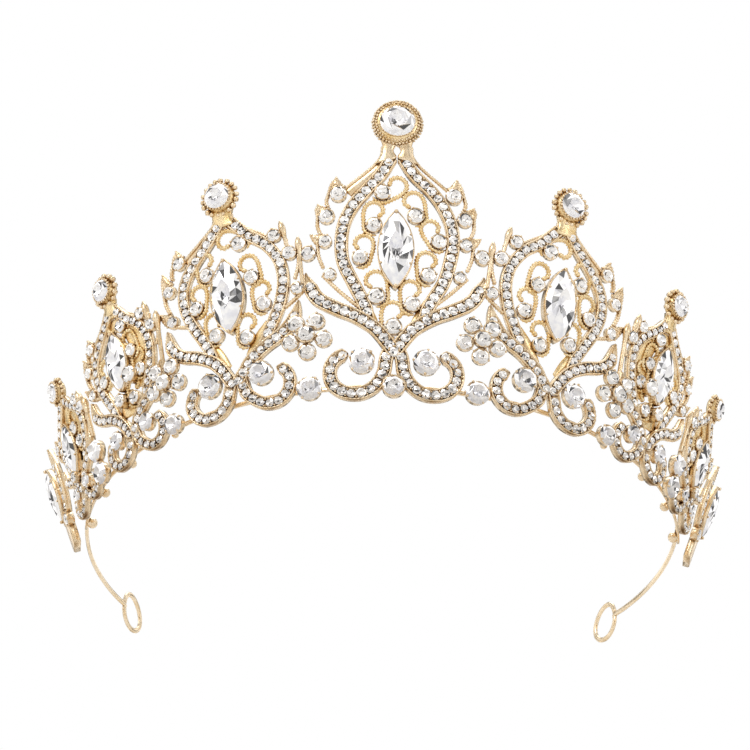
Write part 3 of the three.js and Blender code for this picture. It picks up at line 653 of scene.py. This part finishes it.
def scaled(spec, u, v, scrolls, spurs, **changes):
    """A smaller palmette of the same pattern: every place is scaled, and only the scrolls and spurs whose first
    places are listed stay. Changes replace whole entries, in the smaller palmette's own places."""
    lines = {key: [[(a * u, b * v) for a, b in line] for line in spec[key]]
             for key in ("rails", "leaves", "volutes")}
    lines["neck"] = [edge and [(a * u, b * v) for a, b in edge] for edge in spec["neck"]]
    lines["rim"] = [(a * u, b * v) for a, b in spec["rim"]]
    lines["scrolls"] = [(a * u, b * v, size * 0.92, angle, side) for a, b, size, angle, side in spec["scrolls"]
                        if (a, b) in scrolls]
    lines["spurs"] = [((s[0] * u, s[1] * v), None if t is None else (t[0] * u, t[1] * v), (f[0] * u, f[1] * v),
                       size * 0.9) for s, t, f, size in spec["spurs"] if s in spurs]
    return {**spec, **lines, **changes}


OUTER = scaled(INNER, 0.78, 0.79, [(3.8, 42.6), (6.2, 33.3), (-8.5, 29.3), (8.7, 26.1), (3.9, 18.6)],
               [(12.7, 42.7), (15.9, 37.7), (-12.5, 42.3), (-15.9, 36.1), (-15.6, 28.3)],
               finial=(44.4, 4.8, 8.2), beaded=0.78, navette=(7.0, 15.2, 25.2),
               spikes=[((11.8, 29.5), (11.2, 36.6)), ((13.2, 13.5), (14.4, 32.9))],
               studs=[(4.0, 20.2, 4.2), (-0.6, 15.2, 3.3)],
               fills=[([(2.9, 17.6), (3.8, 22.0), (4.0, 26.0), (3.0, 30.5), (1.6, 34.2)],
                       [(7.6, 15.6), (9.6, 20.0), (10.2, 25.0), (8.8, 30.4), (4.4, 35.0)]),
                      ([(-3.2, 33.4), (-2.4, 34.6), (-1.4, 36.4)], [(2.0, 33.2), (2.2, 34.6), (1.8, 36.6)]),
                      ([(-3.6, 11.4), (-3.2, 14.0), (-2.4, 17.4)], [(2.8, 11.2), (2.5, 14.0), (2.2, 17.4)])],
               volute_stones=(5.6, 7.2, 4.4), rail=2.7, stone=1.95)
SIDE = scaled(INNER, 0.62, 0.6, [(6.2, 33.3), (8.7, 26.1)],
              [(12.7, 42.7), (15.9, 37.7), (-15.9, 36.1)],
              finial=(32.4, 4.2, 7.2), beaded=0.62, navette=(6.4, 14.2, 16.0),
              spikes=[((9.6, 20.6), (9.0, 27.6)), ((11.0, 13.5), (11.3, 24.8))],
              studs=[(-0.4, 8.6, 2.8)],
              fills=[([(2.4, 11.6), (3.4, 14.5), (3.5, 17.6), (2.6, 21.0), (1.2, 25.0)],
                      [(6.0, 11.4), (7.8, 15.2), (8.2, 19.0), (7.0, 23.0), (3.0, 27.2)]),
                     ([(-4.6, 22.0), (-3.6, 24.8), (-1.6, 27.8)], [(1.0, 23.4), (1.4, 25.6), (1.4, 27.8)]),
                     ([(-2.8, 6.4), (-2.6, 8.2), (-2.0, 10.2)], [(2.3, 6.4), (2.1, 8.2), (1.8, 10.2)])],
              volute_stones=(3.6, 5.4, 3.4), rail=2.4, stone=1.8)


def mirrored(spec, flip):
    """The same palmette for the other side: every u changes sign."""
    if flip > 0:
        return spec
    turned = {key: [[(-a, b) for a, b in line] for line in spec[key]] for key in ("rails", "leaves", "volutes")}
    turned["spikes"] = [[(-a, b) for a, b in bar] for bar in spec["spikes"]]
    turned["fills"] = [[[(-a, b) for a, b in edge] for edge in edges] for edges in spec["fills"]]
    turned["studs"] = [(-a, b, size) for a, b, size in spec["studs"]]
    turned["scrolls"] = [(-a, b, size, 180 - angle, -side) for a, b, size, angle, side in spec["scrolls"]]
    turned["spurs"] = [((-s[0], s[1]), None if t is None else (-t[0], t[1]), (-f[0], f[1]), size)
                       for s, t, f, size in spec["spurs"]]
    return {**spec, **turned}


BASE_STONE, BASE_RISE = 4.7, 3.0      # the stone between the centre volutes, and its v


def palmette(name, lean, spec, suffix="", flip=1):
    """One casting with its small stones, and its navette, finial stone and two volute stones."""
    site = Site(f"{name}_navette{suffix}", lean)
    spec = mirrored(spec, flip)
    metal, stones = Work(), Work()
    for line in spec["volutes"]:
        line, run = smooth_line(line, FINE)
        channel(metal, line, run, spec["rail"] * 1.04, taper=(1.5, 1.2))
        pave(stones, metal, line, run, spec["stone"], (2.6, 1.0))
    for line in spec["rails"]:
        line, run = smooth_line(line, FINE)
        channel(metal, line, run, spec["rail"], 0.1, taper=(0, 4.5))
        pave(stones, metal, line, run, spec["stone"], (0.6, 3.2), 0.1)
    for line in spec["leaves"]:
        line, run = smooth_line(line, FINE)
        channel(metal, line, run, spec["rail"] * 1.08, 0.25, taper=(1.2, 4.2))
        pave(stones, metal, line, run, spec["stone"], (0.9, 3.6), 0.25)
    for scroll_place in spec["scrolls"]:
        scroll(metal, stones, *scroll_place)
    for place in spec["spurs"]:
        spur(metal, stones, *place)
        if name == "centre":
            spur(metal, stones, *[None if p is None else (-p[0], p[1]) for p in place[:3]], place[3])
    for u, v, size in spec["linkers"]:
        for side in (-1, 1):
            seated(stones, metal, side * u, v, size)
    hole, outside = spec["neck"]
    if hole is None:
        sheet(metal, [(-u, v) for u, v in outside], outside, 0.2, 1.6, mark=1)
    for side in (-1, 1):
        if hole:
            sheet(metal, [(side * u, v) for u, v in hole], [(side * u, v) for u, v in outside], 0.2, 1.6)
        line, run = smooth_line([(side * u, v) for u, v in spec["rim"]], FINE)
        wire(metal, line, run, 0.4, middle=0.6, flat=1.2, grain=0.12)
        if spec["filled"] in (side, 2):
            sheet(metal, line - [side * 1.9, 1.7], line, FILL_BACK, FILL_FACE)
    for foot, top in spec["spikes"]:
        spike(metal, foot, top)
    for inner, outer in spec["fills"]:
        sheet(metal, inner, outer, FILL_BACK, FILL_FACE, mark=1)
    for u, v, size in spec["studs"]:
        seated(stones, metal, u, v, size, girdle=3.0, back=0.6)
    finial(metal, spec)
    width, height, rise = spec["navette"]
    bezel(metal, width, height, rise)
    offset, lift, size = spec["volute_stones"]
    for side in (-1, 1):
        cup(metal, side * offset, lift, size, VOLUTE_GIRDLE, wall=0.04)
    if name == "centre":
        cup(metal, 0, BASE_RISE, BASE_STONE, BASE_GIRDLE, wall=0.3, start=0.2)
    metal.piece(f"{name}_casting{suffix}", site, [CAST_GOLD, DEEP_GOLD], [f"{name}_palmette{suffix}"], "cast_gold")
    stones.piece(f"{name}_pave{suffix}", site, [SMALL_FOIL], [], "crystal", smooth=False)
    navette(f"{name}_navette_cut{suffix}", site, f"{name}_navette{suffix}", width, height, rise)
    finial_rise, finial_stone, _ = spec["finial"]
    round_stone(f"{name}_finial_cut{suffix}", site, f"{name}_finial_stone{suffix}", finial_stone * 1.06, 0,
                finial_rise, FINIAL_GIRDLE)
    for side, hand in ((-1, "_a"), (1, "_b")):
        round_stone(f"{name}_volute_cut{suffix}{hand}", site, f"{name}_volute_stone{suffix}{hand}", size,
                    side * offset, lift, VOLUTE_GIRDLE)
    if name == "centre":
        round_stone("base_cut", site, "base_stone", BASE_STONE, 0, BASE_RISE, BASE_GIRDLE)


PETAL, PETAL_REACH = 3.9, 4.0         # a flower's stones, and how far they stand from its middle


def link(name, lean, rises, size, suffix, flower=None):
    """One large stone in its cup under a flower of five stones round a raised sixth, or two large stones on a
    stem. Rises and flower are the v of each."""
    site = Site(f"{name}_link_stone{suffix}", lean)
    metal, stones = Work(), Work()
    for rise in rises:
        cup(metal, 0, rise, size, VOLUTE_GIRDLE, wall=0.04)
    if flower is not None:
        line, run = smooth_line([(-3.6, flower - 1.4), (0, flower), (3.6, flower - 1.4)], FINE)
        wire(metal, line, run, 0.6, middle=1.4, grain=0.1)
        turn = np.radians(126 + 72 * np.arange(5))
        for u, v in zip(PETAL_REACH * np.cos(turn), flower + PETAL_REACH * np.sin(turn)):
            seated(stones, metal, u, v, PETAL, girdle=2.7, back=1.2)
        seated(stones, metal, 0, flower, PETAL, girdle=3.5, back=1.8)
    elif len(rises) > 1:
        line, run = smooth_line([(0, rises[0]), (0, rises[1])], FINE)
        wire(metal, line, run, 0.7, middle=0.8, grain=0.1)
    metal.piece(f"{name}_link_casting{suffix}", site, [CAST_GOLD], [f"{name}_link{suffix}"], "cast_gold")
    if stones.points:
        stones.piece(f"{name}_flower{suffix}", site, [SMALL_FOIL], [], "crystal", smooth=False)
    for i, rise in enumerate(rises):
        which = "stone" if i == 0 else "upper_stone"
        round_stone(f"{name}_link_{which}_cut{suffix}", site, f"{name}_link_{which}{suffix}", size, 0, rise,
                    VOLUTE_GIRDLE)


END_NAVETTE = (6.4, 15.6, 15.8)       # width, height and v


def end_leaf(suffix, flip):
    """The last casting: a long navette over a plain tab, between two pave leaves, with a small stone beside it."""
    site = Site(f"end_navette{suffix}", END_LEAN)
    metal, stones = Work(), Work()
    line, run = smooth_line([(0, 0.3), (0, 9.5)], FINE)
    wide = (3.0 - 0.35 * np.exp(-run))[:, None]
    across = np.concatenate([-wide, -wide, -wide + 0.5, wide - 0.5, wide, wide], 1)
    out = 0 * wide + [0, 1.3, 1.7, 1.7, 1.3, 0]
    swept(metal, line, np.stack([across, out], 2))
    for points, width in (([(0, 8.5), (flip * 4.4, 10.5), (flip * 6.3, 16.5), (flip * 5.2, 26.5)], 3.0),
                          ([(0, 8.5), (flip * -3.0, 9.5), (flip * -4.6, 14.0), (flip * -4.4, 18.5)], 2.4)):
        line, run = smooth_line(points, FINE)
        channel(metal, line, run, width, taper=(0, 6.0))
        pave(stones, metal, line, run, 1.7, (1.5, 5.0))
    seated(stones, metal, flip * 3.6, 6.6, 3.2, 2.0)
    bezel(metal, *END_NAVETTE)
    metal.piece(f"end_leaf_casting{suffix}", site, [CAST_GOLD], [f"end_leaf{suffix}"], "cast_gold")
    stones.piece(f"end_leaf_pave{suffix}", site, [SMALL_FOIL], [], "crystal", smooth=False)
    navette(f"end_navette_cut{suffix}", site, f"end_navette{suffix}", *END_NAVETTE)


# ---- band and arms
END_ARC = 112.1              # along the band's circle, from the front to the end leaf's middle
BAND_SHORT = 2.4             # from each end of the strip to the end leaf's middle
ARM_THICKNESS = 0.9
ARM_RADIUS = BAND_RADIUS - SOLDER_GAP - ARM_THICKNESS / 2
ARM_RISE = 6.9
ARM_WIRE = (0.5, 0.7)        # half the wire's thickness, and half its height
ARM_LAP = 6.8                # how far the arm reaches forward of the end leaf's middle
ARM_REACH = 44.6             # from the end leaf's middle back to the middle of the loop
ARM_SPRING = {"_left": 0.0, "_right": 5.0}   # degrees by which each arm is turned in
LOOP_SIZE, LOOP_RISE = (7.6, 9.8), 6.4       # to the middle of the wire
LOOP_GAP = 1.4               # from the end of the straight wire to the loop's side
LOOP_EGG = 0.12              # how much narrower the loop is at its top, and wider at its foot
LOOP_TILT = 20.0             # degrees by which the loop's top leans towards the arm


def carried(work, line, profile, outwards):
    """Carries a closed profile along a line in space: its first number goes outwards from the head, and its second
    square to that and to the line."""
    along = unit(np.gradient(line, axis=0))
    upright = unit(np.cross(along, outwards))
    out = np.cross(upright, along)
    points = line[:, None] + out[:, None] * profile[..., :1] + upright[:, None] * profile[..., 1:]
    loft(work, points)


def round_band(turn, radius, height):
    """Points on the band's circle."""
    return np.stack([radius * np.sin(turn), -radius * np.cos(turn), height + 0 * turn], 1)


def headband():
    """The plain strip: a rounded oblong carried round the arc."""
    work = Work()
    end = (END_ARC - BAND_SHORT) / BAND_RADIUS
    turn = np.linspace(-end, end, 241)
    radius = BAND_RADIUS - SOLDER_GAP - BAND_THICKNESS / 2
    corner = circle(16)
    across = np.clip(1.25 * np.cos(corner), -1, 1) * BAND_THICKNESS / 2
    upright = np.clip(1.15 * np.sin(corner), -1, 1) * BAND_HEIGHT / 2
    profile = np.repeat(np.stack([across, upright], 1)[None], len(turn), 0)
    line = round_band(turn, radius, BAND_BASE + BAND_HEIGHT / 2)
    carried(work, line, profile, line * [1, 1, 0] / radius)
    work.piece("headband_strip", Flat(), [PLAIN_GOLD], ["headband"], "plain_gold")


def arm(side, suffix):
    """A wire that runs on from the band and closes on itself in an oval loop. The loop's plane touches the band's
    circle, its upper end leans back to the wire, and the whole arm is turned in by its spring about its root."""
    start = (END_ARC - ARM_LAP) / BAND_RADIUS
    middle = (END_ARC + ARM_REACH) / BAND_RADIUS
    turn = np.linspace(start, middle - (LOOP_SIZE[0] / 2 + LOOP_GAP) / BAND_RADIUS, 60)
    straight = round_band(side * turn, ARM_RADIUS, ARM_RISE)
    tilt, swing = np.radians(LOOP_TILT), np.radians(np.linspace(158, 510, 60))
    flat = np.stack([np.cos(swing) * LOOP_SIZE[0] / 2 * (1 - LOOP_EGG * np.sin(swing)),
                     np.sin(swing) * LOOP_SIZE[1] / 2], 1)
    along = flat[:, 0] * np.cos(tilt) - flat[:, 1] * np.sin(tilt)
    up = flat[:, 0] * np.sin(tilt) + flat[:, 1] * np.cos(tilt)
    facing = np.array([np.cos(side * middle), np.sin(side * middle), 0])
    centre = round_band(np.array([side * middle]), ARM_RADIUS, LOOP_RISE)[0]
    loop = centre + side * along[:, None] * facing + up[:, None] * np.array([0, 0, 1])
    line, _ = smooth_line(np.concatenate([straight[::4], loop[::2], loop[-1:]]), 0.35)
    spring, root = np.radians(side * ARM_SPRING[suffix]), straight[0]
    turned = line - root
    line = np.stack([turned[:, 0] * np.cos(spring) - turned[:, 1] * np.sin(spring),
                     turned[:, 0] * np.sin(spring) + turned[:, 1] * np.cos(spring), turned[:, 2]], 1) + root
    corner = circle(12)
    profile = np.stack([ARM_WIRE[0] * np.cos(corner), ARM_WIRE[1] * np.sin(corner)], 1)
    work = Work()
    carried(work, line, np.repeat(profile[None], len(line), 0), unit(line * [1, 1, 0]))
    work.piece(f"arm_wire{suffix}", Flat(), [PLAIN_GOLD], [f"end_arm{suffix}"], "plain_gold")


def knobs(side, suffix):
    """Soft drops of solder inside the band: a large ball at the arm's root, and smaller ones along the end. Each
    is given by its arc from the front, its height and its radius."""
    points, faces = DROP
    work = Work()
    for arc, height, size in ((END_ARC - ARM_LAP + 1.6, 5.2, 1.35), (90.0, 4.4, 1.2), (74.0, 4.2, 1.1),
                              (57.0, 4.6, 0.9)):
        centre = round_band(np.array([side * arc / BAND_RADIUS]), ARM_RADIUS - 0.2 - size * 0.7, height)[0]
        work.add(points * size + centre, faces)
    work.piece(f"solder_knobs{suffix}", Flat(), [PLAIN_GOLD], [f"arm_rivet{suffix}"], "plain_gold")


# ---- camera, light and floor
def camera():
    """Looks up at the tiara from below its band, a little to one side, as if it were held above the eye."""
    turn, rise, roll, distance = radians(-1.56), radians(-34.0), radians(0.61), 0.7
    aside, above = -2.3 * MM, 17.3 * MM
    back = Vector((sin(turn) * cos(rise), -cos(turn) * cos(rise), sin(rise)))
    level = Vector((cos(turn), sin(turn), 0))
    upright = back.cross(level)
    right = cos(roll) * level + sin(roll) * upright
    up = cos(roll) * upright - sin(roll) * level
    target = Vector((0, (BAND_MIDDLE_Y - 10) * MM, 31.2 * MM))
    lens = bpy.data.cameras.new("camera")
    lens.sensor_width, lens.lens = 36.0, 132.05
    body = bpy.data.objects.new("camera", lens)
    stand = Matrix((right, up, back)).transposed().to_4x4()
    stand.translation = target + distance * back + aside * right + above * up
    body.matrix_world = stand
    bpy.context.scene.collection.objects.link(body)
    bpy.context.scene.camera = body


def studio():
    """White behind the tiara. For light and gloss, a tent of broad bright and dark clouds with soft edges, which
    give the cut faces their whites and greys, and three lamps."""
    world = bpy.data.worlds.new("studio")
    bpy.context.scene.world = world
    world.use_nodes = True
    tree = world.node_tree
    tent = tree.nodes["Background"]
    tent.inputs["Color"].default_value = (1.0, 0.985, 0.965, 1)
    place = add_node(tree, "TexCoord")
    clouds = add_node(tree, "TexNoise", {"Scale": 5.2, "Detail": 1.0})
    level = add_node(tree, "MapRange", {"From Min": 0.40, "From Max": 0.53, "To Min": 0.11, "To Max": 1.21},
                     interpolation_type="SMOOTHSTEP")
    white = add_node(tree, "Background", {"Color": (1, 1, 1, 1)})
    ray = add_node(tree, "LightPath")
    mix = add_node(tree, "MixShader")
    join(tree, (place, "Generated", clouds, "Vector"), (clouds, "Fac", level, "Value"),
         (level, "Result", tent, "Strength"), (ray, "Is Camera Ray", mix, "Fac"), (tent, "Background", mix, 1),
         (white, "Background", mix, 2), (mix, "Shader", tree.nodes["World Output"], "Surface"))
    for name, spot, size, power in (("key", (-0.45, -0.7, 0.55), 0.4, 1.6), ("fill", (0.6, -0.6, 0.1), 0.3, 0.5),
                                    ("top", (0.0, 0.1, 0.8), 0.5, 1.5)):
        lamp = bpy.data.lights.new(name, "AREA")
        lamp.size, lamp.energy = size, power
        body = bpy.data.objects.new(name, lamp)
        body.matrix_world = Vector(spot).to_track_quat("Z", "Y").to_matrix().to_4x4()
        body.matrix_world.translation = Vector(spot)
        bpy.context.scene.collection.objects.link(body)
    bpy.context.scene.view_settings.view_transform = "Standard"


def floor():
    """A pale floor that is seen only from above, so that a camera under it sees the tiara."""
    side = np.linspace(-0.6, 0.6, 9)
    x, y = (grid.ravel() for grid in np.meshgrid(side, side))
    corner = (np.arange(8)[:, None] * 9 + np.arange(8)[None]).ravel()
    mesh = bpy.data.meshes.new("floor")
    mesh.from_pydata(np.stack([x, y, 0 * x - 0.0002], 1).tolist(), [],
                     np.stack([corner, corner + 1, corner + 10, corner + 9], 1).tolist())
    body = bpy.data.objects.new("floor", mesh)
    bpy.context.scene.collection.objects.link(body)
    material, tree, shader = shaded("pale_floor")
    shader.inputs["Base Color"].default_value = (0.86, 0.86, 0.86, 1)
    shader.inputs["Roughness"].default_value = 0.8
    face = add_node(tree, "NewGeometry")
    clear = add_node(tree, "BsdfTransparent")
    mix = add_node(tree, "MixShader")
    join(tree, (face, "Backfacing", mix, "Fac"), (shader, "BSDF", mix, 1), (clear, "BSDF", mix, 2),
         (mix, "Shader", tree.nodes["Material Output"], "Surface"))
    mesh.materials.append(material)


camera()
studio()
floor()
palmette("centre", CENTRE_LEAN, CENTRE)
for suffix, side in (("_left", -1), ("_right", 1)):
    palmette("inner", INNER_LEAN, INNER, suffix, -side)
    palmette("outer", OUTER_LEAN, OUTER, suffix, -side)
    palmette("side", SIDE_LEAN, SIDE, suffix, -side)
    link("inner", INNER_LEAN, [3.3], 5.4, suffix, flower=16.0)
    link("outer", OUTER_LEAN, [3.3], 4.8, suffix, flower=13.6)
    link("side", SIDE_LEAN, [3.3, 9.2], 5.2, suffix)
    end_leaf(suffix, -side)
    arm(side, suffix)
    knobs(side, suffix)
headband()

bpy.context.view_layer.update()
